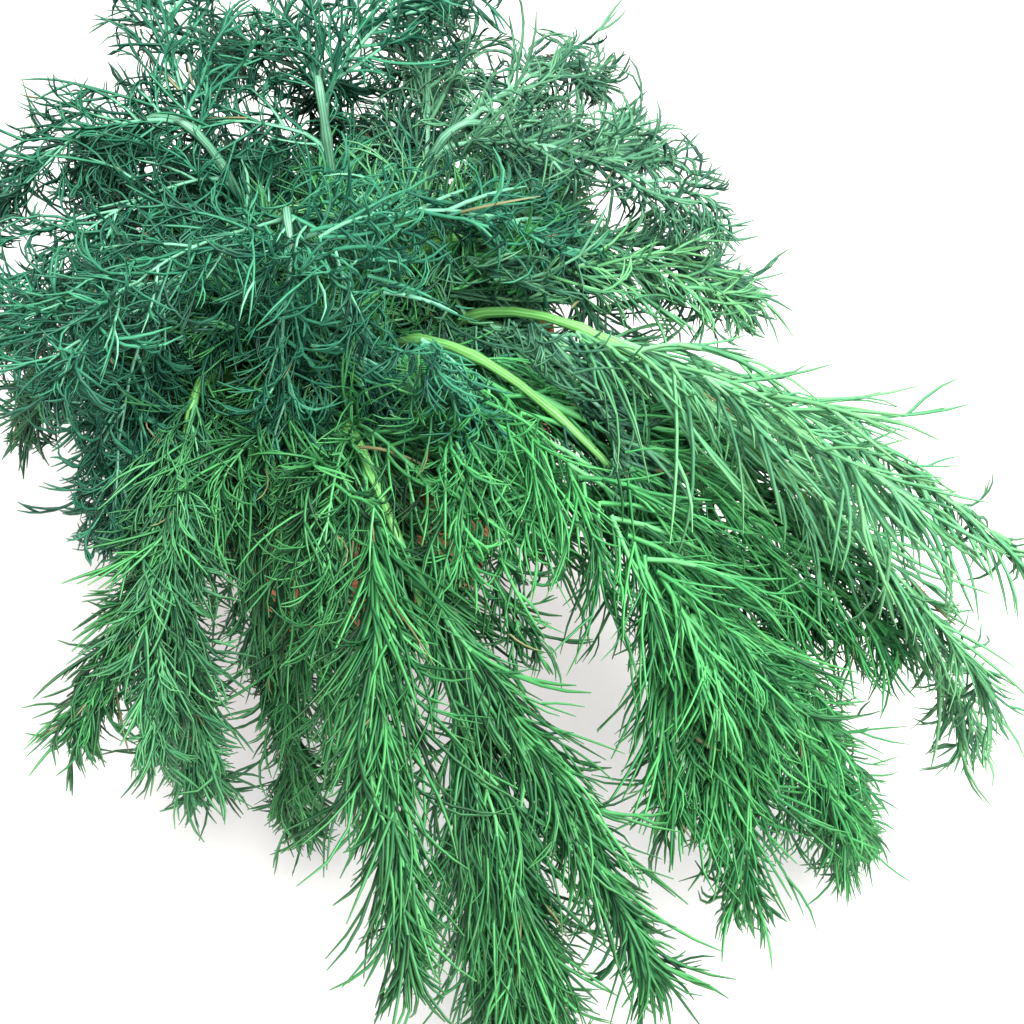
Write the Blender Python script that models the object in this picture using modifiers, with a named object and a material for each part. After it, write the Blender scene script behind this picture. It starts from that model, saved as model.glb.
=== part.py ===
"""Potted dill: a plain clay pot, its soil, eleven shoots with their tap roots, and their feathery leaves.

Metres, +Z up. The origin is the middle of the pot's base, on the surface that the pot stands on.
Azimuths are in degrees from +X towards +Y, so the shoots that flop over the rim lean towards -Y.
"""

import math
from dataclasses import dataclass

import bmesh
import bpy
from mathutils import Vector
from mathutils.bvhtree import BVHTree

# The pot, a tapered clay body with a thick band round its mouth.
POT_HEIGHT = 0.105
POT_BASE_RADIUS = 0.041
POT_MOUTH_RADIUS = 0.0555
POT_WALL = 0.0055
POT_FLOOR = 0.007
BAND_HEIGHT = 0.023
BAND_STEP = 0.0055
EDGE_ROUND = 0.0015
DRAIN_RADIUS = 0.0045
DRAIN_RING = 0.021
DRAIN_COUNT = 3
POT_SIDES = 48

# The soil, which fills the pot to a little under its mouth.
HEADSPACE = 0.014
SOIL_DOME = 0.004
GAP = 0.0003
SOIL_RINGS = 4

# The stems. A share is of the radius at the soil, except for FIRST_HANDLE, which is of the reach.
ROOT_DEPTH = 0.030
ROOT_TIP_SHARE = 0.35
STEM_TIP_SHARE = 0.34
FIRST_HANDLE = 0.06
STEM_POINTS = 14

# The leaves. A share is of the leaf's length, except where it says otherwise.
LEAF_ROOM = 0.0020  # between the stem's skin and the middle of the leaf's foot
LEAF_THICKNESS = 0.0011
RIB_WIDTH = 0.0024
BLADE_START = 0.26
PINNA_PAIRS = 6
PINNA_FOOT = 0.225  # width of a pinna's foot, as a share of the room between pairs
PINNA_FORWARD = 0.85  # how far a pinna leans to the tip, as a share of how far it stands out
PINNA_TAPER = 0.55  # how much shorter the last pair is than the first, as a share of the first
TIP_LENGTH = 0.14
UPPER_SHORTER = 0.22  # how much shorter a stem's last leaf is than its first
UPPER_NARROWER = 0.85  # how much of the spread is gone by the last leaf
UPPER_STRAIGHTER = 0.35  # how much of the droop is gone by the last leaf

# How far a leaf may be moved from its place to keep clear of the others.
TURNS = range(-60, 61, 6)
TILTS = range(-30, 43, 6)
LEAF_SIZES = (1.0, 0.85, 0.7, 0.55)

CLAY = (0.545, 0.205, 0.105, 1.0)
EARTH = (0.045, 0.028, 0.018, 1.0)
STEM_GREEN = (0.265, 0.52, 0.10, 1.0)
LEAF_GREEN = (0.055, 0.22, 0.075, 1.0)


@dataclass
class Shoot:
    """One stem: where it is rooted, which way it leans, how it arches, and the leaves it carries.

    The arch is a cubic curve. Its first handle stands at rise above the soil, its second at shoulder above
    the soil and shoulder_reach of the way out, and it ends at reach from its root and tip above the soil.
    """

    name: str
    root: tuple  # azimuth, distance from the pot's axis
    lean: float  # azimuth
    reach: float
    rise: float
    shoulder: float
    tip: float
    radius: float
    leaves: int
    leaf_length: float
    blade: float  # half the width of a leaf's blade
    shoulder_reach: float = 0.5
    first_leaf: float = 0.30  # share of the stem below the lowest leaf
    spread: float = 62.0  # degrees between the stem and its lowest leaf, seen from above
    lift: float = 38.0  # pitch of the lowest leaf where it leaves the stem
    droop: float = 70.0  # how far a leaf turns down by its tip


SHOOTS = [
    Shoot(
        "right", (-10, 0.024), -34, 0.112, 0.052, 0.088, 0.044, 0.0018,
        5, 0.096, 0.020, 0.45, 0.36, 12, 8, 36,
    ),
    Shoot(
        "front_right", (-40, 0.012), -41, 0.122, 0.050, 0.088, 0.020, 0.0018,
        5, 0.094, 0.021, 0.45, 0.36, 24, 12, 32,
    ),
    Shoot(
        "front", (-85, 0.025), -68, 0.112, 0.050, 0.078, -0.004, 0.0018,
        5, 0.098, 0.022, 0.50, 0.36, 18, 10, 26,
    ),
    Shoot(
        "front_low", (-120, 0.014), -90, 0.072, 0.046, 0.066, 0.006, 0.0016,
        4, 0.080, 0.019, 0.50, 0.38, 32, 12, 36,
    ),
    Shoot(
        "front_left", (-150, 0.026), -98, 0.066, 0.046, 0.070, 0.012, 0.0016,
        4, 0.074, 0.019, 0.50, 0.40, 20, 10, 46,
    ),
    Shoot(
        "left", (175, 0.022), -116, 0.042, 0.052, 0.080, 0.044, 0.0016,
        4, 0.056, 0.018, 0.40, 0.40, 50, 24, 66,
    ),
    Shoot(
        "back_left", (130, 0.025), 158, 0.034, 0.056, 0.088, 0.060, 0.0016,
        4, 0.062, 0.018, 0.35, 0.44, 70, 26, 70,
    ),
    Shoot(
        "back", (80, 0.022), 100, 0.028, 0.060, 0.092, 0.062, 0.0016,
        4, 0.058, 0.018, 0.35, 0.46, 74, 28, 70,
    ),
    Shoot(
        "back_right", (40, 0.027), 24, 0.030, 0.056, 0.088, 0.060, 0.0016,
        4, 0.066, 0.018, 0.40, 0.42, 66, 24, 66,
    ),
    Shoot(
        "right_high", (10, 0.012), -16, 0.056, 0.052, 0.082, 0.050, 0.0016,
        4, 0.070, 0.018, 0.45, 0.40, 54, 20, 60,
    ),
    Shoot(
        "centre", (-160, 0.004), -80, 0.026, 0.060, 0.098, 0.082, 0.0017,
        4, 0.066, 0.018, 0.35, 0.46, 72, 26, 78,
    ),
]


def clear_scene():
    for item in list(bpy.data.objects):
        bpy.data.objects.remove(item)


def collection(name, shown=True):
    made = bpy.data.collections.new(name)
    bpy.context.scene.collection.children.link(made)
    made.hide_render = not shown
    return made


def material(name, colour, roughness):
    made = bpy.data.materials.new(name)
    made.use_nodes = True
    shader = made.node_tree.nodes["Principled BSDF"]
    shader.inputs["Base Color"].default_value = colour
    shader.inputs["Roughness"].default_value = roughness
    made.diffuse_color = colour
    return made


def add_object(name, data, where, finish=None):
    made = bpy.data.objects.new(name, data)
    where.objects.link(made)
    if finish is not None:
        data.materials.append(finish)
    return made


# ---- the pot and the soil ----


def inner_radius(height):
    """Radius of the pot's inner wall at a height above the surface it stands on."""
    return POT_BASE_RADIUS - POT_WALL + (POT_MOUTH_RADIUS - POT_BASE_RADIUS) * height / POT_HEIGHT


def turned(name, profile, where, finish):
    """A solid turned about Z from an open profile of (radius, height), from its top down its outer side."""
    mesh = bpy.data.meshes.new(name)
    shape = bmesh.new()
    points = [shape.verts.new((radius, 0.0, height)) for radius, height in profile]
    for here, after in zip(points, points[1:]):
        shape.edges.new((here, after))
    shape.to_mesh(mesh)
    shape.free()
    made = add_object(name, mesh, where, finish)
    screw = made.modifiers.new("turn", "SCREW")
    screw.steps = screw.render_steps = POT_SIDES
    screw.use_merge_vertices = True
    screw.merge_threshold = 0.00001
    screw.use_smooth_shade = False
    return made


def make_pot(where, cutters, finish):
    band_foot = POT_HEIGHT - BAND_HEIGHT
    outer_at_band = inner_radius(band_foot) + POT_WALL
    lip = POT_MOUTH_RADIUS + BAND_STEP
    profile = [
        (0.0, POT_FLOOR),
        (inner_radius(POT_FLOOR) - EDGE_ROUND, POT_FLOOR),
        (inner_radius(POT_FLOOR + EDGE_ROUND), POT_FLOOR + EDGE_ROUND),
        (inner_radius(POT_HEIGHT), POT_HEIGHT - EDGE_ROUND),
        (inner_radius(POT_HEIGHT) + EDGE_ROUND, POT_HEIGHT),
        (lip - EDGE_ROUND, POT_HEIGHT),
        (lip, POT_HEIGHT - EDGE_ROUND),
        (lip - 0.3 * EDGE_ROUND, band_foot + EDGE_ROUND),
        (lip - 1.3 * EDGE_ROUND, band_foot),
        (outer_at_band, band_foot - 0.5 * EDGE_ROUND),
        (POT_BASE_RADIUS + 0.5 * EDGE_ROUND, EDGE_ROUND),
        (POT_BASE_RADIUS - EDGE_ROUND, 0.0),
        (0.0, 0.0),
    ]
    pot = turned("pot", profile, where, finish)
    for number in range(DRAIN_COUNT):
        turn = 2 * math.pi * (number + 0.5) / DRAIN_COUNT + math.pi / POT_SIDES
        bpy.ops.mesh.primitive_cylinder_add(
            vertices=16, radius=DRAIN_RADIUS, depth=3 * POT_FLOOR,
            location=(DRAIN_RING * math.cos(turn), DRAIN_RING * math.sin(turn), POT_FLOOR / 2),
            rotation=(0.0, 0.0, turn + math.pi / 16),
        )
        cut(pot, bpy.context.object, cutters, f"drain_{number + 1}")
    return pot


def cut(target, cutter, cutters, name):
    """Moves a cutter to the cutters' collection and subtracts it from the target."""
    cutter.name = f"cutter_{name}"
    for holder in list(cutter.users_collection):
        holder.objects.unlink(cutter)
    cutters.objects.link(cutter)
    cutter.hide_render = True
    cutter.display_type = "WIRE"
    boolean = target.modifiers.new(name, "BOOLEAN")
    boolean.operation = "DIFFERENCE"
    boolean.object = cutter


def soil_level(radius=0.0):
    """Height of the soil's domed surface at a distance from the pot's axis."""
    edge = POT_HEIGHT - HEADSPACE
    share = min(1.0, radius / (inner_radius(edge) - GAP))
    return edge + SOIL_DOME * (1 - share * share)


def make_soil(where, finish):
    edge = POT_HEIGHT - HEADSPACE
    rim = inner_radius(edge) - GAP
    foot = POT_FLOOR + GAP
    rings = [rim * ring / SOIL_RINGS for ring in range(SOIL_RINGS + 1)]
    profile = [(radius, soil_level(radius)) for radius in rings]
    profile += [
        (inner_radius(foot + EDGE_ROUND) - GAP, foot + EDGE_ROUND),
        (inner_radius(foot) - EDGE_ROUND - GAP, foot),
        (0.0, foot),
    ]
    return turned("soil", profile, where, finish)


# ---- the stems ----


def along(azimuth):
    turn = math.radians(azimuth)
    return Vector((math.cos(turn), math.sin(turn), 0.0))


def root_of(shoot):
    azimuth, distance = shoot.root
    foot = along(azimuth) * distance
    foot.z = soil_level(distance)
    return foot


def stem_point(shoot, share):
    """A point on the stem's arch, at a share from the soil, 0, to its tip, 1."""
    root, out, up = root_of(shoot), along(shoot.lean), Vector((0.0, 0.0, 1.0))
    first = root + out * (FIRST_HANDLE * shoot.reach) + up * shoot.rise
    second = root + out * (shoot.shoulder_reach * shoot.reach) + up * shoot.shoulder
    end = root + out * shoot.reach + up * shoot.tip
    rest = 1 - share
    return root * rest**3 + first * (3 * rest**2 * share) + second * (3 * rest * share**2) + end * share**3


def stem_direction(shoot, share):
    step = 0.01
    low, high = max(0.0, share - step), min(1.0, share + step)
    return (stem_point(shoot, high) - stem_point(shoot, low)).normalized()


def stem_radius(shoot, share):
    return shoot.radius * (1 - (1 - STEM_TIP_SHARE) * share)


def stem_line(shoot, extra=0.0):
    """(point, radius) pairs from the tap root's tip to the stem's tip, with extra added to each radius."""
    root = root_of(shoot)
    line = []
    for depth in (1.0, 0.5):
        share = 1 - (1 - ROOT_TIP_SHARE) * depth
        drop = Vector((0.0, 0.0, (ROOT_DEPTH + 2 * extra) * depth))
        line.append((root - drop, shoot.radius * share + extra))
    for number in range(STEM_POINTS):
        share = number / (STEM_POINTS - 1)
        line.append((stem_point(shoot, share), stem_radius(shoot, share) + extra))
    return line


def tube(name, line, where, sides=2):
    """A round tube with closed ends through (point, radius) pairs."""
    curve = bpy.data.curves.new(name, "CURVE")
    curve.dimensions = "3D"
    curve.bevel_depth = 1.0
    curve.bevel_resolution = sides
    curve.use_fill_caps = True
    spline = curve.splines.new("POLY")
    spline.points.add(len(line) - 1)
    for point, (place, radius) in zip(spline.points, line):
        point.co = (*place, 1.0)
        point.radius = radius
    return add_object(name, curve, where)


def as_mesh(item, where):
    """The same shape as a welded mesh object of its own, with the curve removed."""
    name = item.name
    bpy.context.view_layer.update()
    graph = bpy.context.evaluated_depsgraph_get()
    mesh = bpy.data.meshes.new_from_object(item.evaluated_get(graph))
    shape = bmesh.new()
    shape.from_mesh(mesh)
    bmesh.ops.remove_doubles(shape, verts=shape.verts, dist=0.00002)
    shape.to_mesh(mesh)
    shape.free()
    matrix = item.matrix_world.copy()
    bpy.data.objects.remove(item)
    made = add_object(name, mesh, where)
    made.matrix_world = matrix
    return made


def make_stem(shoot, soil, where, cutters, finish):
    """The stem with its tap root, and the hole that the root takes in the soil."""
    stem = as_mesh(tube(f"stem_{shoot.name}", stem_line(shoot), where), where)
    stem.data.materials.append(finish)
    stem.data.shade_smooth()
    below = [pair for pair in stem_line(shoot, GAP)][:2]
    root = root_of(shoot)
    below += [(root, shoot.radius + GAP), (root + Vector((0.0, 0.0, 0.01)), shoot.radius + GAP)]
    hole = as_mesh(tube(f"root_hole_{shoot.name}", below, where), where)
    cut(soil, hole, cutters, f"root_hole_{shoot.name}")
    return stem


# ---- the leaves ----


def leaf_places(shoot):
    """(share of the stem, azimuth, pitch, length, droop) of each leaf. The last leaf ends the stem."""
    places = []
    for number in range(shoot.leaves):
        step = number / max(1, shoot.leaves - 1)
        share = 1.0 - (1.0 - shoot.first_leaf) * (1.0 - step)
        side = 1 if number % 2 == 0 else -1
        stem = stem_direction(shoot, share)
        stem_pitch = math.degrees(math.asin(max(-1.0, min(1.0, stem.z))))
        turn = side * shoot.spread * (1 - UPPER_NARROWER * step)
        pitch = shoot.lift * (1 - step) + stem_pitch * step
        length = shoot.leaf_length * (1 - UPPER_SHORTER * step)
        droop = shoot.droop * (1 - UPPER_STRAIGHTER * step)
        places.append((share, shoot.lean + turn, pitch, length, droop))
    return places


def leaf_line(start, azimuth, pitch, length, droop, steps=24):
    """Points evenly spaced along a leaf's rib, which turns down by droop degrees towards its tip."""
    line, place = [start.copy()], start.copy()
    for step in range(steps):
        share = (step + 0.5) / steps
        tilt = math.radians(max(-80.0, pitch - droop * share**1.4))
        flat = along(azimuth)
        place = place + (flat * math.cos(tilt) + Vector((0.0, 0.0, math.sin(tilt)))) * (length / steps)
        line.append(place)
    return line


def on_line(line, share):
    """The point and direction of a polyline at a share of its length, carried straight on past its end."""
    last = len(line) - 1
    spot = max(0.0, share) * last
    index = min(int(spot), last - 1)
    step = line[index + 1] - line[index]
    return line[index] + step * (spot - index), step.normalized()


def leaf_stations():
    """Shares of the rib where the blade's rows are, and the numbers of the rows that a pinna stands on."""
    rows = [0.0, BLADE_START * 0.5, BLADE_START]
    pinna_rows = []
    for pair in range(PINNA_PAIRS):
        foot = BLADE_START + (1 - BLADE_START) * (pair / PINNA_PAIRS) ** 0.9
        if pair:
            rows.append(foot)
        pinna_rows.append(len(rows) - 1)
        rows.append(foot + PINNA_FOOT * (1 - BLADE_START) / PINNA_PAIRS)
    rows.append(1.0)
    return rows, pinna_rows


def pinna_length(shoot, pair):
    """Half the blade's width at a pair of pinnae, widest at the first pair."""
    return shoot.blade * (1 - PINNA_TAPER * pair / (PINNA_PAIRS - 1))


def leaf_shape(shoot, line, length, thickness):
    """A flat feathered blade on a narrow rib, laid along the line and thickened, as a bmesh."""
    rows, pinna_rows = leaf_stations()
    shape = bmesh.new()
    bmesh.ops.create_grid(shape, x_segments=1, y_segments=len(rows) - 1, size=0.5)
    shape.verts.ensure_lookup_table()
    ordered = sorted(shape.verts, key=lambda vertex: (round(vertex.co.y, 5), vertex.co.x))
    sides = {}
    for row, share in enumerate(rows):
        width = RIB_WIDTH * (1 - 0.5 * share)
        for column, sign in ((0, -1), (1, 1)):
            vertex = ordered[2 * row + column]
            vertex.co = (sign * width / 2, share * length, 0.0)
            sides[row, sign] = vertex
    for pair, row in enumerate(pinna_rows):
        reach = pinna_length(shoot, pair)
        for sign in (-1, 1):
            foot = shape.edges.get((sides[row, sign], sides[row + 1, sign]))
            grow_point(shape, foot, Vector((sign * reach, PINNA_FORWARD * reach, 0.0)))
    end = shape.edges.get((sides[len(rows) - 1, -1], sides[len(rows) - 1, 1]))
    grow_point(shape, end, Vector((0.0, TIP_LENGTH * length, 0.0)))
    for vertex in shape.verts:
        across = vertex.co.x
        place, direction = on_line(line, vertex.co.y / length)
        sideways = direction.cross(Vector((0.0, 0.0, 1.0))).normalized()
        vertex.co = place + sideways * across
    bmesh.ops.solidify(shape, geom=shape.faces[:], thickness=thickness)
    bmesh.ops.recalc_face_normals(shape, faces=shape.faces[:])
    return shape


def grow_point(shape, edge, move):
    """Draws one edge out into a point."""
    made = bmesh.ops.extrude_edge_only(shape, edges=[edge])["geom"]
    tips = [item for item in made if isinstance(item, bmesh.types.BMVert)]
    middle = (tips[0].co + tips[1].co) / 2 + move
    bmesh.ops.pointmerge(shape, verts=tips, merge_co=middle)


def leaf_start(shoot, share, azimuth):
    """Where a leaf's rib starts, just off the stem's skin, on the side that the leaf leaves from."""
    direction = stem_direction(shoot, share)
    out = along(azimuth)
    out = out - direction * out.dot(direction)
    if share == 1.0:
        return stem_point(shoot, 1.0) + direction * LEAF_ROOM
    return stem_point(shoot, share) + out.normalized() * (stem_radius(shoot, share) + LEAF_ROOM)


def nudges():
    """Small changes (azimuth, pitch, share of the length) that find a leaf a clear place, smallest first."""
    steps = [(turn, tilt) for turn in TURNS for tilt in TILTS]
    steps.sort(key=lambda pair: (abs(pair[0]) + 1.5 * abs(pair[1]), pair))
    return [(turn, tilt, size) for size in LEAF_SIZES for turn, tilt in steps]


def above_ground(shape):
    return min(vertex.co.z for vertex in shape.verts) > 2 * LEAF_THICKNESS


def make_leaf(shoot, number, place, taken, where, finish):
    """One leaf, turned a little where it would otherwise touch what is already in place."""
    share, azimuth, pitch, full, droop = place
    for turn, tilt, size in nudges():
        length = full * size
        start = leaf_start(shoot, share, azimuth + turn)
        line = leaf_line(start, azimuth + turn, pitch + tilt, length, droop)
        trial = leaf_shape(shoot, line, length, LEAF_THICKNESS + 2 * GAP)
        tree = BVHTree.FromBMesh(trial)
        free = above_ground(trial) and not any(tree.overlap(other) for other in taken)
        trial.free()
        if free:
            break
    shape = leaf_shape(shoot, line, length, LEAF_THICKNESS)
    taken.append(BVHTree.FromBMesh(shape))
    name = f"leaf_{shoot.name}_{number}"
    mesh = bpy.data.meshes.new(name)
    shape.to_mesh(mesh)
    shape.free()
    add_object(name, mesh, where, finish)


def make_leaves(taken, where, finish):
    """Every leaf, from those that end the stems to the lowest, which have the most room to turn in."""
    leaves = []
    for shoot in SHOOTS:
        leaves += [(shoot, number, place) for number, place in enumerate(leaf_places(shoot), start=1)]
    leaves.sort(key=lambda leaf: -leaf[2][0])
    for shoot, number, place in leaves:
        make_leaf(shoot, number, place, taken, where, finish)


def tree_of(item):
    graph = bpy.context.evaluated_depsgraph_get()
    return BVHTree.FromObject(item, graph)


def main():
    clear_scene()
    parts = collection("potted_dill")
    cutters = collection("cutters", shown=False)
    clay = material("clay", CLAY, 0.85)
    earth = material("earth", EARTH, 0.95)
    stem_green = material("stem_green", STEM_GREEN, 0.45)
    leaf_green = material("leaf_green", LEAF_GREEN, 0.55)
    pot = make_pot(parts, cutters, clay)
    soil = make_soil(parts, earth)
    stems = [make_stem(shoot, soil, parts, cutters, stem_green) for shoot in SHOOTS]
    bpy.context.view_layer.update()
    taken = [tree_of(item) for item in (pot, soil, *stems)]
    make_leaves(taken, parts, leaf_green)


main()
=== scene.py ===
"""Potted dill in a plain clay pot: the pot, its compost, the stems and the feathery leaves.

Lengths are metres and angles are degrees unless a name says otherwise. The plant flops towards -Y and +X.
"""

import heapq
import logging
import math
from collections import deque
from dataclasses import dataclass, field
from enum import Enum
from typing import Iterable

import bmesh
import bpy
import numpy as np
from mathutils import Matrix, Vector, noise


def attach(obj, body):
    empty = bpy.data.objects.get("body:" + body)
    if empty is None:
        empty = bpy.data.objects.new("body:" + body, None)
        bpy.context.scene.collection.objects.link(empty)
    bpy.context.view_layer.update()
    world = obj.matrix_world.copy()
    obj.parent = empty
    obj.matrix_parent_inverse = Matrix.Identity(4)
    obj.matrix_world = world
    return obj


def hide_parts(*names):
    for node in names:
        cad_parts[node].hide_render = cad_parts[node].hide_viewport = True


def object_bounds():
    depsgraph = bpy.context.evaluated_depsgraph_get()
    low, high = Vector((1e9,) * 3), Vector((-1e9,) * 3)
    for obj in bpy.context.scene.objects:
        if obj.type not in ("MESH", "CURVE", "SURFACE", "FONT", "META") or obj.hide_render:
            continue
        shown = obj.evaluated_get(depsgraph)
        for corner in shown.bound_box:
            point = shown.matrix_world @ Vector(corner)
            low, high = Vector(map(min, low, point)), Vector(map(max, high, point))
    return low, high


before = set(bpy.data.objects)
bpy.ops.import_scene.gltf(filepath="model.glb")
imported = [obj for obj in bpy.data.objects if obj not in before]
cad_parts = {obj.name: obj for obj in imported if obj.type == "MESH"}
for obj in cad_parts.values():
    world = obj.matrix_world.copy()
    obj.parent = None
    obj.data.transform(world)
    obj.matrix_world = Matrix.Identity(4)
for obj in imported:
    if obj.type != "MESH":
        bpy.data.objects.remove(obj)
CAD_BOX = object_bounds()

log = logging.getLogger("potted_dill")
MM = 0.001
UP = np.array((0.0, 0.0, 1.0))
BAKE_MAP = "OFBake"


# ---------------------------------------------------------------------------
# Shader helpers
# ---------------------------------------------------------------------------


def linear(code: str) -> tuple[float, float, float, float]:
    """Turns an sRGB hex colour into linear RGBA.

    Args:
        code: Six hex digits, with or without a leading hash.

    Returns:
        The linear colour, with an alpha of 1.
    """
    digits = code.lstrip("#")
    parts = [int(digits[i:i + 2], 16) / 255 for i in (0, 2, 4)]
    red, green, blue = (c / 12.92 if c <= 0.04045 else ((c + 0.055) / 1.055) ** 2.4 for c in parts)
    return red, green, blue, 1.0


def per_metre(size_mm: float) -> float:
    """Noise scale for a pattern whose features are size_mm across, on coordinates in metres."""
    return 1000.0 / size_mm


def wire(node: bpy.types.Node, values: dict, links: dict) -> None:
    """Sets some of a node's inputs, and links others.

    Args:
        node: The node.
        values: Default values of inputs, by name or number.
        links: Output sockets that feed inputs, by name or number.
    """
    for socket, value in values.items():
        node.inputs[socket].default_value = value
    for socket, source in links.items():
        node.id_data.links.new(source, node.inputs[socket])


def add_node(
    tree: bpy.types.NodeTree,
    kind: str,
    settings: dict | None = None,
    values: dict | None = None,
    links: dict | None = None,
    ramp: list | None = None,
) -> bpy.types.Node:
    """Adds a node to a tree.

    Args:
        tree: The node tree.
        kind: The node's type name, without ShaderNode.
        settings: Attributes of the node.
        values: Default values of inputs, by name or number.
        links: Output sockets that feed inputs, by name or number.
        ramp: (position, linear colour) pairs, for a colour ramp.

    Returns:
        The new node.
    """
    made = tree.nodes.new("ShaderNode" + kind)
    for name, value in (settings or {}).items():
        setattr(made, name, value)
    wire(made, values or {}, links or {})
    for number, (position, colour) in enumerate(ramp or []):
        stops = made.color_ramp.elements
        stop = stops[number] if number < 2 else stops.new(position)
        stop.position, stop.color = position, colour
    return made


def blank_material(
    name: str, mapped: bool = False
) -> tuple[bpy.types.Material, bpy.types.NodeTree, bpy.types.Node, bpy.types.NodeSocket]:
    """A new material with its Principled shader and the coordinates that its patterns read.

    Args:
        name: The material's name.
        mapped: Whether it reads a piece's own map, and not where the piece is.

    Returns:
        The material, its tree, its shader node and the coordinates.
    """
    made = bpy.data.materials.new(name)
    made.use_nodes = True
    tree = made.node_tree
    if mapped:
        place = add_node(tree, "UVMap", {"uv_map": BAKE_MAP}).outputs["UV"]
    else:
        place = add_node(tree, "TexCoord").outputs["Object"]
    return made, tree, tree.nodes["Principled BSDF"], place


# ---------------------------------------------------------------------------
# Finishes
# ---------------------------------------------------------------------------


@dataclass(frozen=True)
class Terracotta:
    """Unglazed red earthenware, pressed and fired: open-pored, dead matt, with salts drawn to its skin."""

    name: str = "terracotta"
    fired_dark: str = "#9c4f33"
    fired: str = "#b8643f"
    fired_light: str = "#cd7f58"
    salts: str = "#dccab6"
    damp: str = "#7a3f2b"
    blotch_mm: float = 26.0
    grog_mm: float = 0.9
    pore_mm: float = 0.45
    salt_mm: float = 14.0
    damp_mm: float = 38.0
    roughness: float = 0.86
    specular: float = 0.25

    def material(self, height: float) -> bpy.types.Material:
        """Builds the material.

        Args:
            height: The pot's height, which places the salts low on its wall and under its band.

        Returns:
            The material.
        """
        made, tree, shader, place = blank_material(self.name)
        blotch = add_node(tree, "TexNoise", {}, {"Scale": per_metre(self.blotch_mm), "Detail": 4.0,
                          "Roughness": 0.6}, {"Vector": place})
        body = add_node(tree, "ValToRGB", links={"Fac": blotch.outputs["Fac"]}, ramp=[
            (0.30, linear(self.fired_dark)), (0.72, linear(self.fired_light)), (0.50, linear(self.fired))])
        # Grog, the crushed fired clay in the body, shows as fine pale and dark specks.
        grog = add_node(tree, "TexNoise", {}, {"Scale": per_metre(self.grog_mm), "Detail": 2.0},
                        {"Vector": place})
        specks = add_node(tree, "MapRange", {}, {"From Min": 0.35, "From Max": 0.65, "To Min": 0.86,
                          "To Max": 1.12}, {"Value": grog.outputs["Fac"]})
        speckled = add_node(tree, "Mix", {"data_type": "RGBA", "blend_type": "MULTIPLY"},
                            {"Factor": 0.7}, {6: body.outputs["Color"], 7: specks.outputs["Result"]})
        # Salts: hard water wicks through the wall and dries where air reaches it: low, and under the band.
        split = add_node(tree, "SeparateXYZ", links={"Vector": place})
        level = add_node(tree, "MapRange", {}, {"From Min": 0.0, "From Max": height},
                         {"Value": split.outputs["Z"]})
        bands = add_node(tree, "ValToRGB", links={"Fac": level.outputs["Result"]}, ramp=[
            (0.0, (0.62, 0.62, 0.62, 1)), (1.0, (0.25, 0.25, 0.25, 1)), (0.18, (0.30, 0.30, 0.30, 1)),
            (0.45, (0.06, 0.06, 0.06, 1)), (0.70, (0.16, 0.16, 0.16, 1)), (0.77, (0.50, 0.50, 0.50, 1)),
            (0.80, (0.12, 0.12, 0.12, 1))])
        patchy = add_node(tree, "TexNoise", {}, {"Scale": per_metre(self.salt_mm), "Detail": 6.0,
                          "Roughness": 0.68, "Distortion": 0.6}, {"Vector": place})
        patches = add_node(tree, "MapRange", {}, {"From Min": 0.42, "From Max": 0.68},
                           {"Value": patchy.outputs["Fac"]})
        bloom = add_node(tree, "Math", {"operation": "MULTIPLY"}, {},
                         {0: bands.outputs["Color"], 1: patches.outputs["Result"]})
        salted = add_node(tree, "Mix", {"data_type": "RGBA"}, {7: linear(self.salts)},
                          {"Factor": bloom.outputs["Value"], 6: speckled.outputs[2]})
        # Damp: the wall is darker where wet compost touches it from behind.
        wet = add_node(tree, "TexNoise", {}, {"Scale": per_metre(self.damp_mm), "Detail": 3.0},
                       {"Vector": place})
        wetness = add_node(tree, "MapRange", {}, {"From Min": 0.52, "From Max": 0.74,
                           "To Max": 0.55}, {"Value": wet.outputs["Fac"]})
        finished = add_node(tree, "Mix", {"data_type": "RGBA"}, {7: linear(self.damp)},
                            {"Factor": wetness.outputs["Result"], 6: salted.outputs[2]})
        pores = add_node(tree, "TexNoise", {}, {"Scale": per_metre(self.pore_mm), "Detail": 3.0,
                         "Roughness": 0.7}, {"Vector": place})
        bump = add_node(tree, "Bump", {}, {"Strength": 0.35, "Distance": 0.12 * MM},
                        {"Height": pores.outputs["Fac"]})
        wire(shader, {"Roughness": self.roughness, "Specular IOR Level": self.specular},
             {"Base Color": finished.outputs[2], "Normal": bump.outputs["Normal"]})
        return made


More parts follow.
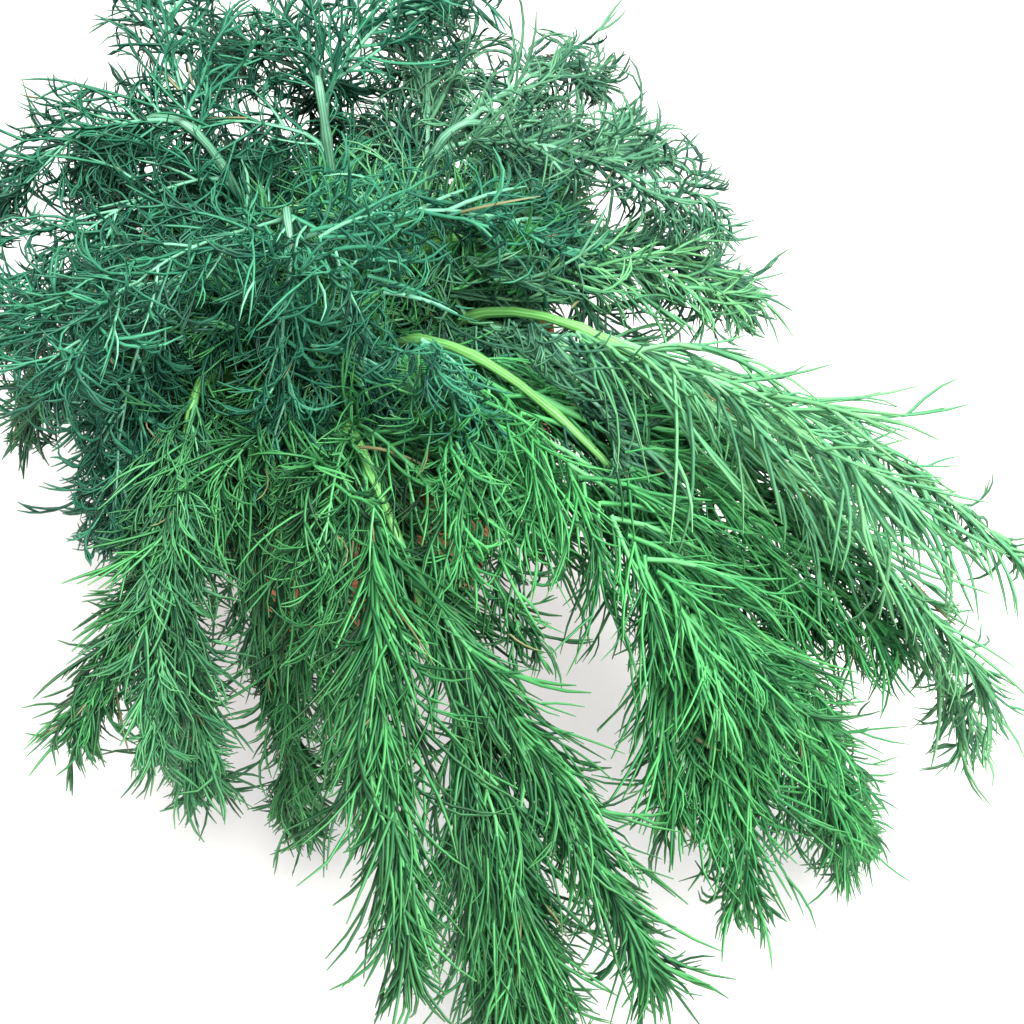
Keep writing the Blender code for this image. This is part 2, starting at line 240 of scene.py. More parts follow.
@dataclass(frozen=True)
class Compost:
    """Damp peat-free potting compost: dark fibrous crumbs with red-brown bark, matt all over."""

    name: str = "potting_compost"
    wet: str = "#22150f"
    crumb: str = "#4b2f22"
    bark: str = "#7d4d3a"
    dry: str = "#a87462"
    crumb_mm: float = 3.2
    fibre_mm: float = 0.5
    roughness: float = 0.94
    specular: float = 0.2

    def material(self) -> bpy.types.Material:
        """Builds the material.

        Returns:
            The material.
        """
        made, tree, shader, place = blank_material(self.name)
        cells = add_node(tree, "TexVoronoi", {}, {"Scale": per_metre(self.crumb_mm)},
                         {"Vector": place})
        chosen = add_node(tree, "SeparateColor", links={"Color": cells.outputs["Color"]})
        colour = add_node(tree, "ValToRGB", links={"Fac": chosen.outputs[0]}, ramp=[
            (0.0, linear(self.wet)), (1.0, linear(self.dry)), (0.35, linear(self.crumb)),
            (0.78, linear(self.bark))])
        fibres = add_node(tree, "TexNoise", {}, {"Scale": per_metre(self.fibre_mm), "Detail": 4.0,
                          "Roughness": 0.7}, {"Vector": place})
        shade = add_node(tree, "MapRange", {}, {"From Min": 0.3, "From Max": 0.7, "To Min": 0.55,
                         "To Max": 1.3}, {"Value": fibres.outputs["Fac"]})
        finished = add_node(tree, "Mix", {"data_type": "RGBA", "blend_type": "MULTIPLY"},
                            {"Factor": 0.8}, {6: colour.outputs["Color"], 7: shade.outputs["Result"]})
        bump = add_node(tree, "Bump", {}, {"Strength": 0.6, "Distance": 0.4 * MM},
                        {"Height": fibres.outputs["Fac"]})
        wire(shader, {"Roughness": self.roughness, "Specular IOR Level": self.specular},
             {"Base Color": finished.outputs[2], "Normal": bump.outputs["Normal"]})
        return made


@dataclass(frozen=True)
class Perlite:
    """Expanded volcanic glass: white foamy grains, a little stained by the compost."""

    name: str = "perlite"
    clean: str = "#ece7dc"
    stained: str = "#b9a48e"
    cell_mm: float = 0.6
    roughness: float = 0.8

    def material(self) -> bpy.types.Material:
        """Builds the material.

        Returns:
            The material.
        """
        made, tree, shader, place = blank_material(self.name)
        foam = add_node(tree, "TexNoise", {}, {"Scale": per_metre(self.cell_mm), "Detail": 3.0},
                        {"Vector": place})
        colour = add_node(tree, "ValToRGB", links={"Fac": foam.outputs["Fac"]}, ramp=[
            (0.32, linear(self.stained)), (0.6, linear(self.clean))])
        bump = add_node(tree, "Bump", {}, {"Strength": 0.5, "Distance": 0.2 * MM},
                        {"Height": foam.outputs["Fac"]})
        wire(shader, {"Roughness": self.roughness},
             {"Base Color": colour.outputs["Color"], "Normal": bump.outputs["Normal"]})
        return made


@dataclass(frozen=True)
class StemSkin:
    """Young dill stem: smooth living skin with fine pale ribs and a thin waxy bloom.

    It reads the stem's own map, along the stem in U and round it in V.
    """

    name: str
    groove: str
    rib: str
    foot: str
    ribs: int = 9
    roughness: float = 0.4
    specular: float = 0.4

    def material(self) -> bpy.types.Material:
        """Builds the material.

        Returns:
            The material.
        """
        made, tree, shader, place = blank_material(self.name, mapped=True)
        split = add_node(tree, "SeparateXYZ", links={"Vector": place})
        turns = add_node(tree, "Math", {"operation": "MULTIPLY"}, {1: 2 * math.pi * self.ribs},
                         {0: split.outputs["Y"]})
        wave = add_node(tree, "Math", {"operation": "COSINE"}, {}, {0: turns.outputs["Value"]})
        streak_place = add_node(tree, "Mapping", {}, {"Scale": (9.0, 26.0, 1.0)}, {"Vector": place})
        streaks = add_node(tree, "TexNoise", {}, {"Scale": 1.0, "Detail": 3.0},
                           {"Vector": streak_place.outputs["Vector"]})
        ribbing = add_node(tree, "Math", {"operation": "MULTIPLY_ADD"}, {1: 0.22, 2: 0.0},
                           {0: wave.outputs["Value"]})
        mixed = add_node(tree, "Math", {"operation": "ADD"}, {},
                         {0: ribbing.outputs["Value"], 1: streaks.outputs["Fac"]})
        colour = add_node(tree, "ValToRGB", links={"Fac": mixed.outputs["Value"]}, ramp=[
            (0.25, linear(self.groove)), (0.75, linear(self.rib))])
        # The foot of a stem stays pale where the compost and the crown shade it.
        low = add_node(tree, "MapRange", {}, {"From Min": 0.18, "From Max": 0.36, "To Min": 0.85,
                       "To Max": 0.0}, {"Value": split.outputs["X"]})
        finished = add_node(tree, "Mix", {"data_type": "RGBA"}, {7: linear(self.foot)},
                            {"Factor": low.outputs["Result"], 6: colour.outputs["Color"]})
        wire(shader, {"Roughness": self.roughness, "Specular IOR Level": self.specular},
             {"Base Color": finished.outputs[2]})
        return made


@dataclass(frozen=True)
class ThreadLeaf:
    """Dill leaf thread: a soft, fleshy green needle about 1 mm thick with a satin skin.

    It reads the leaf's own map: U runs along each thread, and V holds the thread's shade, from deep at 0 to
    light, then the ribs' and last the withered threads' straw, so that no two neighbours are quite the same.
    The deep end is partly painted shade and the light end partly painted light, besides random tone.
    """

    name: str
    deep: str
    body: str
    light: str
    rib: str
    tip: str
    straw: str = "#7f7c5a"
    roughness: float = 0.48
    specular: float = 0.24

    def material(self) -> bpy.types.Material:
        """Builds the material.

        Returns:
            The material.
        """
        made, tree, shader, place = blank_material(self.name, mapped=True)
        split = add_node(tree, "SeparateXYZ", links={"Vector": place})
        # Painted shade and painted light: the deep end of this ramp goes to threads that point beneath the
        # leaf, the light end to those that point up.
        shade = add_node(tree, "ValToRGB", links={"Fac": split.outputs["Y"]}, ramp=[
            (0.0, linear(self.deep)), (1.0, linear(self.straw)), (0.40, linear(self.body)),
            (0.79, linear(self.light)), (0.81, linear(self.rib)), (0.90, linear(self.rib)),
            (0.91, linear(self.straw))])
        streak_place = add_node(tree, "Mapping", {}, {"Scale": (7.0, 90.0, 1.0)}, {"Vector": place})
        streaks = add_node(tree, "TexNoise", {}, {"Scale": 1.0, "Detail": 2.0},
                           {"Vector": streak_place.outputs["Vector"]})
        light = add_node(tree, "MapRange", {}, {"From Min": 0.3, "From Max": 0.7, "To Min": 0.78,
                         "To Max": 1.2}, {"Value": streaks.outputs["Fac"]})
        streaked = add_node(tree, "Mix", {"data_type": "RGBA", "blend_type": "MULTIPLY"},
                            {"Factor": 1.0}, {6: shade.outputs["Color"], 7: light.outputs["Result"]})
        # Young growth: the last third of a thread is lighter and yellower.
        young = add_node(tree, "MapRange", {}, {"From Min": 0.55, "From Max": 1.0, "To Max": 0.4},
                         {"Value": split.outputs["X"]})
        finished = add_node(tree, "Mix", {"data_type": "RGBA"}, {7: linear(self.tip)},
                            {"Factor": young.outputs["Result"], 6: streaked.outputs[2]})
        wire(shader, {"Roughness": self.roughness, "Specular IOR Level": self.specular},
             {"Base Color": finished.outputs[2]})
        return made


@dataclass(frozen=True)
class LightTable:
    """Opal acrylic sheet, matt on top and lit a little from beneath, which keeps shadows pale."""

    name: str = "opal_acrylic"
    colour: str = "#b6b6b4"
    grain_mm: float = 1.5
    roughness: float = 0.9
    glow: float = 0.5

    def material(self) -> bpy.types.Material:
        """Builds the material.

        Returns:
            The material.
        """
        made, tree, shader, place = blank_material(self.name)
        grain = add_node(tree, "TexNoise", {}, {"Scale": per_metre(self.grain_mm), "Detail": 2.0},
                         {"Vector": place})
        bump = add_node(tree, "Bump", {}, {"Strength": 0.05, "Distance": 0.1 * MM},
                        {"Height": grain.outputs["Fac"]})
        wire(shader, {"Base Color": linear(self.colour), "Roughness": self.roughness,
             "Emission Color": linear("#ffffff"), "Emission Strength": self.glow},
             {"Normal": bump.outputs["Normal"]})
        return made


# ---------------------------------------------------------------------------
# Lines, and what is read from the frame
# ---------------------------------------------------------------------------


def unit(vector: np.ndarray) -> np.ndarray:
    """The vector at length 1."""
    return vector / max(1e-12, float(np.linalg.norm(vector)))


class Line:
    """A smooth path, read by its share of the whole length."""

    def __init__(self, points: np.ndarray, radii: np.ndarray | None = None) -> None:
        """Keeps the points and their distances along the path.

        Args:
            points: Rows of coordinates.
            radii: A radius at each point, where the path is a stem's.
        """
        self.points = np.asarray(points, float)
        self.radii = None if radii is None else np.asarray(radii, float)
        steps = np.linalg.norm(np.diff(self.points, axis=0), axis=1)
        self.distances = np.concatenate(([0.0], np.cumsum(steps)))
        self.length = float(self.distances[-1])

    def at(self, share: float) -> np.ndarray:
        """The point at a share of the length."""
        spot = share * self.length
        return np.array([np.interp(spot, self.distances, self.points[:, axis]) for axis in range(3)])

    def direction(self, share: float) -> np.ndarray:
        """The unit direction at a share of the length."""
        step = 0.03
        return unit(self.at(min(1.0, share + step)) - self.at(max(0.0, share - step)))

    def radius(self, share: float) -> float:
        """The radius at a share of the length."""
        return float(np.interp(share * self.length, self.distances, self.radii))

    def smoothed(self, count: int) -> "Line":
        """The same path with its corners rounded.

        Args:
            count: How many points the new path has.

        Returns:
            The new path, with the same ends.
        """
        shares = np.linspace(0.0, 1.0, count)
        points = np.array([self.at(share) for share in shares])
        for _ in range(3):
            points[1:-1] = (points[:-2] + 2 * points[1:-1] + points[2:]) / 4
        radii = None if self.radii is None else np.array([self.radius(share) for share in shares])
        return Line(points, radii)

    def nearest(self, point: np.ndarray) -> tuple[float, float]:
        """How near the path comes to a point.

        Args:
            point: The point.

        Returns:
            The distance, and the share of the length where it is least.
        """
        gaps = np.linalg.norm(self.points - point, axis=1)
        best = int(np.argmin(gaps))
        return float(gaps[best]), float(self.distances[best] / self.length)


class Solid:
    """A solid of the frame with its loose triangles merged, for reading its lines."""

    def __init__(self, node: str) -> None:
        """Reads the solid's points and edges.

        Args:
            node: The node's name.
        """
        merged = bmesh.new()
        merged.from_mesh(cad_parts[node].data)
        bmesh.ops.remove_doubles(merged, verts=merged.verts, dist=1e-6)
        merged.verts.index_update()
        self.points = np.array([vertex.co for vertex in merged.verts])
        self.beside: list[list[int]] = [[] for _ in merged.verts]
        for edge in merged.edges:
            first, second = (vertex.index for vertex in edge.verts)
            self.beside[first].append(second)
            self.beside[second].append(first)
        merged.free()

    def rings(self) -> Line:
        """The middle line of a tube, ring by ring from its lowest end.

        Returns:
            The line, with the tube's radius at each ring.
        """
        lowest = self.points[:, 2].min()
        hops = {number: 0 for number in np.flatnonzero(self.points[:, 2] < lowest + 0.05 * MM)}
        queue = deque(hops)
        while queue:
            here = queue.popleft()
            for after in self.beside[here]:
                if after not in hops:
                    hops[after] = hops[here] + 1
                    queue.append(after)
        ring_of = np.array([hops.get(number, -1) for number in range(len(self.points))])
        centres, radii = [], []
        for ring in range(ring_of.max() + 1):
            members = self.points[ring_of == ring]
            centres.append(members.mean(axis=0))
            radii.append(np.linalg.norm(members - members.mean(axis=0), axis=1).mean())
        return Line(np.array(centres), np.array(radii))

    def distances_from(self, start: int) -> np.ndarray:
        """Measures the solid along its edges.

        Args:
            start: The number of the point to start from.

        Returns:
            The distance to each of its points.
        """
        found = np.full(len(self.points), np.inf)
        found[start] = 0.0
        heap = [(0.0, start)]
        while heap:
            travelled, here = heapq.heappop(heap)
            if travelled > found[here]:
                continue
            for after in self.beside[here]:
                total = travelled + float(np.linalg.norm(self.points[after] - self.points[here]))
                if total < found[after]:
                    found[after] = total
                    heapq.heappush(heap, (total, after))
        return found


class LeafSolid(Solid):
    """The solid of a leaf: a flat feathered blade that bends in one upright plane."""

    RIB_HALF_WIDTH = 1.35 * MM
    FOOT_REACH = 2.6 * MM
    STEP = 4.0 * MM
    POINTS = 24

    def rib(self, stem: Line) -> tuple[Line, np.ndarray]:
        """The line of the leaf's rib.

        Args:
            stem: The stem that carries the leaf.

        Returns:
            The rib from the stem outwards, and the level direction across the leaf.
        """
        gaps = [stem.nearest(point)[0] for point in self.points]
        start = int(np.argmin(gaps))
        away = np.linalg.norm(self.points - self.points[start], axis=1)
        foot = self.points[away < self.FOOT_REACH].mean(axis=0)
        flat = self.points[:, :2] - foot[:2]
        centre = flat.mean(axis=0)
        _, axes = np.linalg.eigh(np.cov((flat - centre).T))
        out = max((axes[:, 0], axes[:, 1]), key=lambda axis: abs(float(axis @ centre)))
        across = np.array((-out[1], out[0], 0.0))
        offsets = (self.points - foot) @ across
        near_rib = np.abs(offsets) < self.RIB_HALF_WIDTH
        travelled = self.distances_from(start)
        points = [foot]
        for low in np.arange(0.5 * self.STEP, travelled.max() + self.STEP, self.STEP):
            members = self.points[near_rib & (travelled >= low) & (travelled < low + self.STEP)]
            if len(members):
                points.append(members.mean(axis=0))
        return Line(np.array(points)).smoothed(self.POINTS), across


# ---------------------------------------------------------------------------
# Making objects
# ---------------------------------------------------------------------------


def linked(name: str, data: bpy.types.ID | None) -> bpy.types.Object:
    """Adds an object to the scene.

    Args:
        name: The object's name.
        data: What it shows, or None for an empty.

    Returns:
        The new object.
    """
    made = bpy.data.objects.new(name, data)
    bpy.context.scene.collection.objects.link(made)
    return made


def mesh_of(name: str, shape: bmesh.types.BMesh) -> bpy.types.Mesh:
    """Turns a finished shape into a mesh, and frees the shape.

    Args:
        name: The mesh's name.
        shape: The shape.

    Returns:
        The mesh.
    """
    mesh = bpy.data.meshes.new(name)
    shape.to_mesh(mesh)
    shape.free()
    return mesh


def half_section(corners: list[tuple[float, float]]) -> bmesh.types.BMesh:
    """Draws half a section of a turned piece.

    Args:
        corners: Its corners as (radius, height), from one end to the other.

    Returns:
        The shape, with an edge between each two corners.
    """
    shape = bmesh.new()
    points = [shape.verts.new((radius, 0.0, height)) for radius, height in corners]
    for here, after in zip(points, points[1:]):
        shape.edges.new((here, after))
    shape.verts.ensure_lookup_table()
    return shape


def turn_round(shape: bmesh.types.BMesh, steps: int) -> None:
    """Turns half a section into a closed solid about the Z axis, with its faces pointing out.

    Args:
        shape: The half section.
        steps: How many steps the turn takes.
    """
    bmesh.ops.spin(shape, geom=shape.verts[:] + shape.edges[:], axis=(0, 0, 1), cent=(0, 0, 0),
                   angle=2 * math.pi, steps=steps, use_merge=True)
    bmesh.ops.remove_doubles(shape, verts=shape.verts, dist=1e-6)
    bmesh.ops.recalc_face_normals(shape, faces=shape.faces)


def place_object(name: str, mesh: bpy.types.Mesh, finish: bpy.types.Material) -> bpy.types.Object:
    """Adds a mesh to the scene at the origin with one material.

    Args:
        name: The object's name.
        mesh: Its mesh, already in place.
        finish: Its material.

    Returns:
        The new object.
    """
    mesh.materials.clear()
    mesh.materials.append(finish)
    return linked(name, mesh)


def settle(piece: bpy.types.Object, slot: str, *nodes: str) -> bpy.types.Object:
    """Hands a finished piece to the frame.

    Args:
        piece: The piece.
        slot: The name of a material slot, which is only logged.
        nodes: The nodes that it stands for.

    Returns:
        The piece.
    """
    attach(piece, "root")
    if nodes:
        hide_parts(*nodes)
    log.info("%s: %d faces, slot %s", piece.name, len(piece.data.polygons), slot)
    return piece


def baked_mesh(item: bpy.types.Object) -> bpy.types.Mesh:
    """The mesh that an object shows, with its modifiers applied. The object and its data are removed.

    Args:
        item: A mesh or curve object.

    Returns:
        The new mesh.
    """
    bpy.context.view_layer.update()
    graph = bpy.context.evaluated_depsgraph_get()
    mesh = bpy.data.meshes.new_from_object(item.evaluated_get(graph), depsgraph=graph)
    data = item.data
    bpy.data.objects.remove(item)
    (bpy.data.curves if isinstance(data, bpy.types.Curve) else bpy.data.meshes).remove(data)
    return mesh


def rough_field(point: Vector, size_mm: float, seed: float = 0.0) -> float:
    """Smooth noise from -1 to 1 with features size_mm across."""
    return noise.noise(point * per_metre(size_mm) + Vector((seed, -seed, 0.5 * seed)))


@dataclass
class Strand:
    """One round, tapering thread, rib or stalk."""

    points: np.ndarray
    radii: np.ndarray
    shade: int


def outline(name: str, corners: int, depth: float) -> bpy.types.Object:
    """A closed flat outline of radius 1, to be swept along a curve.

    Args:
        name: The outline's name.
        corners: How many corners it has.
        depth: How far every second corner is drawn in, as a share of the radius.

    Returns:
        The outline's object, which baked_mesh doesn't remove.
    """
    curve = bpy.data.curves.new(name, "CURVE")
    curve.dimensions = "2D"
    spline = curve.splines.new("POLY")
    spline.points.add(corners - 1)
    for number, point in enumerate(spline.points):
        reach = 1.0 - depth * (number % 2)
        turn = 2 * math.pi * number / corners
        point.co = (reach * math.cos(turn), reach * math.sin(turn), 0.0, 1.0)
    spline.use_cyclic_u = True
    return linked(name, curve)


def swept(name: str, strands: Iterable[Strand], section: bpy.types.Object, shades: int = 0) -> bpy.types.Mesh:
    """Sweeps an outline along each strand, with closed ends. The outline is removed.

    Args:
        name: The mesh's name.
        strands: The strands.
        section: The outline.
        shades: How many shades the strands have between them, or 0 where they have none.

    Returns:
        The mesh. In its map, U runs along each strand and V round it.
    """
    curve = bpy.data.curves.new(name, "CURVE")
    curve.dimensions = "3D"
    curve.bevel_mode = "OBJECT"
    curve.bevel_object = section
    curve.use_fill_caps = True
    for _ in range(shades):
        curve.materials.append(None)
    for strand in strands:
        spline = curve.splines.new("POLY")
        count = len(strand.points)
        spline.points.add(count - 1)
        spline.points.foreach_set("co", np.column_stack((strand.points, np.ones(count))).ravel())
        spline.points.foreach_set("radius", strand.radii)
        spline.material_index = strand.shade
    mesh = baked_mesh(linked(name, curve))
    drawn = section.data
    bpy.data.objects.remove(section)
    bpy.data.curves.remove(drawn)
    mesh.uv_layers[0].name = BAKE_MAP
    return mesh


def strand_mesh(name: str, strands: Iterable[Strand], shades: int) -> bpy.types.Mesh:
    """One mesh of many closed three-sided threads, with the map that their finish reads.

    Args:
        name: The mesh's name.
        strands: The threads.
        shades: How many shades there are.

    Returns:
        The mesh. In its map, U runs along each thread and V holds its shade.
    """
    mesh = swept(name, strands, outline("thread_section", 3, 0.0), shades)
    layer = mesh.uv_layers[BAKE_MAP]
    uv = np.empty(2 * len(mesh.loops), np.float32)
    layer.uv.foreach_get("vector", uv)
    uv = uv.reshape(-1, 2)
    totals = np.empty(len(mesh.polygons), np.int32)
    rows = np.empty(len(mesh.polygons), np.int32)
    mesh.polygons.foreach_get("loop_total", totals)
    mesh.polygons.foreach_get("material_index", rows)
    caps = np.repeat(totals == 3, totals)
    along = np.where(caps, 0.98, uv[:, 0])
    across = (np.repeat(rows, totals) + 0.15 + 0.7 * np.abs(2 * uv[:, 1] - 1)) / shades
    layer.uv.foreach_set("vector", np.column_stack((along, across)).astype(np.float32).ravel())
    mesh.polygons.foreach_set("material_index", np.zeros(len(mesh.polygons), np.int32))
    return mesh


# ---------------------------------------------------------------------------
# The pot and the compost
# ---------------------------------------------------------------------------


@dataclass
class ClayPot:
    """The tapered pot with a thick band round its mouth and three drain holes."""

    height: float = 0.105
    base_radius: float = 0.041
    mouth_radius: float = 0.0555
    wall: float = 0.0055
    floor: float = 0.007
    band_height: float = 0.023
    band_step: float = 0.0055
    edge_round: float = 0.0018
    drain_radius: float = 0.0045
    drain_ring: float = 0.021
    drains: int = 3
    steps: int = 168
    ring_spacing: float = 0.0021
    grid: float = 0.00105
    chip_reach: float = 0.004
    chip_depth: float = 0.0032
    finish: Terracotta = field(default_factory=Terracotta)

    def inner_radius(self, height: float) -> float:
        """Radius of the inner wall at a height."""
        return self.base_radius - self.wall + (self.mouth_radius - self.base_radius) * height / self.height

    def profile(self) -> list[tuple[float, float]]:
        """The wall's section.

        Returns:
            Its corners, from the middle of the floor over the lip to the base.
        """
        foot = self.height - self.band_height
        lip = self.mouth_radius + self.band_step
        return [
            (0.0, self.floor), (self.inner_radius(self.floor), self.floor),
            (self.inner_radius(self.height), self.height), (lip, self.height),
            (lip - 0.4 * MM, foot), (self.inner_radius(foot) + self.wall, foot),
            (self.base_radius, 0.0), (0.0, 0.0),
        ]

    def worn(self, point: Vector) -> Vector:
        """A point of the wall moved as pressing, turning and wear leave it.

        Args:
            point: A point of the ideal pot.

        Returns:
            The point of the real one.
        """
        out = Vector((point.x, point.y, 0.0))
        radius = out.length
        if radius < 1e-4:
            return point
        out /= radius
        free = min(1.0, point.z / (4 * MM))
        swell = 0.28 * MM * rough_field(point, 34.0, 3.0)
        phase = 2 * math.pi * point.z / self.ring_spacing + 2 * rough_field(point, 40.0, 8.0)
        rings = 0.05 * MM * math.sin(phase)
        grit = 0.05 * MM * rough_field(point, 2.5, 5.0)
        moved = point + out * (swell + rings + grit) * free
        lip = Vector((self.mouth_radius + self.band_step, self.height))
        nearness = 1 - (Vector((radius, point.z)) - lip).length / self.chip_reach
        if nearness > 0:
            chip = max(0.0, rough_field(Vector((point.x, point.y, 0.0)), 9.0, 21.0) - 0.42)
            moved += (Vector((0.0, 0.0, -1.0)) - out) * self.chip_depth * chip * nearness
        return moved

    def body(self) -> bpy.types.Mesh:
        """Turns the wall.

        Returns:
            The wall, without its drain holes.
        """
        shape = half_section(self.profile())
        bmesh.ops.bevel(shape, geom=shape.verts[1:-1], offset=self.edge_round, segments=4, affect="VERTICES",
                        profile=0.5, material=-1)
        for edge in list(shape.edges):
            if edge.calc_length() > 2 * MM:
                bmesh.ops.subdivide_edges(shape, edges=[edge], cuts=int(edge.calc_length() / self.grid))
        turn_round(shape, self.steps)
        for vertex in shape.verts:
            vertex.co = self.worn(vertex.co)
        return mesh_of("pot", shape)

    def drilled(self, mesh: bpy.types.Mesh) -> bpy.types.Mesh:
        """The wall with its drain holes cut.

        Args:
            mesh: The wall.

        Returns:
            The finished mesh.
        """
        holder = linked("pot_blank", mesh)
        cutters = []
        for number in range(self.drains):
            turn = 2 * math.pi * (number + 0.5) / self.drains + math.pi / 48
            spot = Vector((math.cos(turn), math.sin(turn), 0.0)) * self.drain_ring
            shape = bmesh.new()
            bmesh.ops.create_cone(shape, cap_ends=True, segments=40, radius1=self.drain_radius,
                                  radius2=self.drain_radius, depth=3 * self.floor,
                                  matrix=Matrix.Translation(spot + Vector((0, 0, self.floor / 2))))
            cutters.append(linked("drain", mesh_of("drain", shape)))
            boolean = holder.modifiers.new("drain", "BOOLEAN")
            boolean.operation = "DIFFERENCE"
            boolean.object = cutters[-1]
        finished = baked_mesh(holder)
        for cutter in cutters:
            bpy.data.objects.remove(cutter)
        return finished

    def build(self) -> bpy.types.Object:
        """Makes the pot and gives it to the frame.

        Returns:
            The piece.
        """
        mesh = self.drilled(self.body())
        mesh.shade_smooth()
        mesh.set_sharp_from_angle(angle=math.radians(50))
        return settle(place_object("clay_pot", mesh, self.finish.material(self.height)), "clay", "pot")


@dataclass
class CompostBed:
    """The compost: a domed mound with crumbs, bark and perlite lying on it."""

    pot: ClayPot
    headspace: float = 0.014
    dome: float = 0.004
    gap: float = 0.0004
    foot_gap: float = 0.0024
    surface_rings: int = 40
    steps: int = 128
    crumbs: int = 1500
    grains: int = 46
    seed: int = 11
    finish: Compost = field(default_factory=Compost)
    grain_finish: Perlite = field(default_factory=Perlite)

    def level(self, radius: float) -> float:
        """The height of the surface.

        Args:
            radius: The distance from the pot's axis.

        Returns:
            The height there, before the surface gets its lumps.
        """
        edge = self.pot.height - self.headspace
        share = min(1.0, radius / self.pot.inner_radius(edge))
        return edge + self.dome * (1 - share * share)

    def mound(self) -> bpy.types.Mesh:
        """Turns the body of the compost and gives it a lumpy top.

        Returns:
            The mesh.
        """
        edge = self.pot.height - self.headspace
        rim = self.pot.inner_radius(edge) - self.gap
        foot = self.pot.floor + self.gap
        radii = [rim * ring / self.surface_rings for ring in range(self.surface_rings + 1)]
        foot_radius = self.pot.inner_radius(foot) - self.foot_gap
        surface = [(radius, self.level(radius)) for radius in radii]
        shape = half_section(surface + [(foot_radius, foot), (0.0, foot)])
        turn_round(shape, self.steps)
        for vertex in shape.verts:
            radius = math.hypot(vertex.co.x, vertex.co.y)
            if vertex.co.z > edge - 0.1 * MM:
                free = min(1.0, (rim - radius) / (3 * MM))
                lumps = 1.1 * rough_field(vertex.co, 6.0, 1.0) + 0.5 * rough_field(vertex.co, 2.2, 2.0)
                vertex.co.z += lumps * MM * (0.25 + 0.75 * free)
        return mesh_of("compost", shape)

    def scatter(
        self, name: str, count: int, low: float, high: float, flat: float, rng: np.random.Generator
    ) -> bpy.types.Mesh:
        """Small rough lumps on the surface.

        Args:
            name: The mesh's name.
            count: How many.
            low: The smallest lump's radius.
            high: The largest lump's radius.
            flat: The least thickness, as a share of the radius.
            rng: Where the numbers come from.

        Returns:
            The lumps in one mesh.
        """
        rim = self.pot.inner_radius(self.pot.height - self.headspace) - self.gap
        shape = bmesh.new()
        for _ in range(count):
            size = low + (high - low) * rng.random() ** 2.4
            radius = (rim - size - 0.4 * MM) * math.sqrt(rng.random())
            turn = 2 * math.pi * rng.random()
            height = self.level(radius) + 0.35 * size
            spot = Vector((radius * math.cos(turn), radius * math.sin(turn), height))
            spin = Matrix.Rotation(2 * math.pi * rng.random(), 4, Vector(rng.normal(size=3)).normalized())
            stretch = Matrix.Diagonal((1.0, rng.uniform(0.5, 1.0), rng.uniform(flat, 1.0), 1.0))
            made = bmesh.ops.create_icosphere(shape, subdivisions=1, radius=size,
                                              matrix=Matrix.Translation(spot) @ spin @ stretch)
            for vertex in made["verts"]:
                vertex.co += (vertex.co - spot) * float(rng.uniform(-0.28, 0.22))
        return mesh_of(name, shape)

    def build(self) -> list[bpy.types.Object]:
        """Makes the compost and gives it to the frame.

        Returns:
            The mound, the crumbs and the grains.
        """
        rng = np.random.default_rng(self.seed)
        earth = self.finish.material()
        mesh = self.mound()
        mesh.shade_smooth()
        mesh.set_sharp_from_angle(angle=math.radians(40))
        made = [settle(place_object("compost", mesh, earth), "earth", "soil")]
        for name, count, low, high, flat, finish in (
            ("compost_crumbs", self.crumbs, 0.45 * MM, 1.9 * MM, 0.45, earth),
            ("perlite_grains", self.grains, 0.6 * MM, 1.5 * MM, 0.7, self.grain_finish.material()),
        ):
            mesh = self.scatter(name, count, low, high, flat, rng)
            made.append(settle(place_object(name, mesh, finish), "earth"))
        return made


# ---------------------------------------------------------------------------
# Stems
# ---------------------------------------------------------------------------


@dataclass
class RibbedStem:
    """A dill stem: ribbed, tapering, a little swollen where each leaf leaves it."""

    name: str
    line: Line
    joints: list[float]
    finish: bpy.types.Material
    ribs: int = 9
    rib_depth: float = 0.10
    swelling: float = 0.30
    swelling_length: float = 0.0028
    rings: int = 56

    def thickness(self, share: float) -> float:
        """The stem's radius, with the swellings at its joints.

        Args:
            share: The share of the stem's length.

        Returns:
            The radius there.
        """
        radius = self.line.radius(share)
        for joint in self.joints:
            away = (share - joint) * self.line.length / self.swelling_length
            radius *= 1 + self.swelling * math.exp(-away * away)
        return radius

    def build(self) -> bpy.types.Object:
        """Makes the stem and gives it to the frame.

        Returns:
            The piece.
        """
        evenly = set(np.linspace(0.0, 1.0, self.rings).round(4))
        shares = sorted(evenly | {round(joint, 4) for joint in self.joints})
        strand = Strand(np.array([self.line.at(share) for share in shares]),
                        np.array([self.thickness(share) for share in shares]), 0)
        mesh = swept(self.name, [strand], outline("stem_section", 2 * self.ribs, self.rib_depth))
        mesh.shade_smooth()
        return settle(place_object(self.name + "_ribbed", mesh, self.finish), "stem_green", self.name)


# ---------------------------------------------------------------------------
# Leaves
# ---------------------------------------------------------------------------


@dataclass(frozen=True)
class FrondHabit:
    """How the side shoots and threads of a leaf grow. Lengths are metres, and angles are degrees.

    A share is of the rib's length. Each of roll, splay and scatter is how far the growth strays. The sweep is
    how far the threads bend towards the leaf's tip, in radians, and bold is the share of long, thick threads.
    """

    pairs: int
    pinna_share: float
    pinna_angle: float
    thread_length: float
    thread_radius: float
    splay: float
    scatter: float
    curl: float
    sag: float
    bold: float
    sweep: float
    threads: int = 9
    blade_start: float = 0.06
    roll: float = 40.0
    forks: float = 0.5
    rib_radius: float = 0.0007


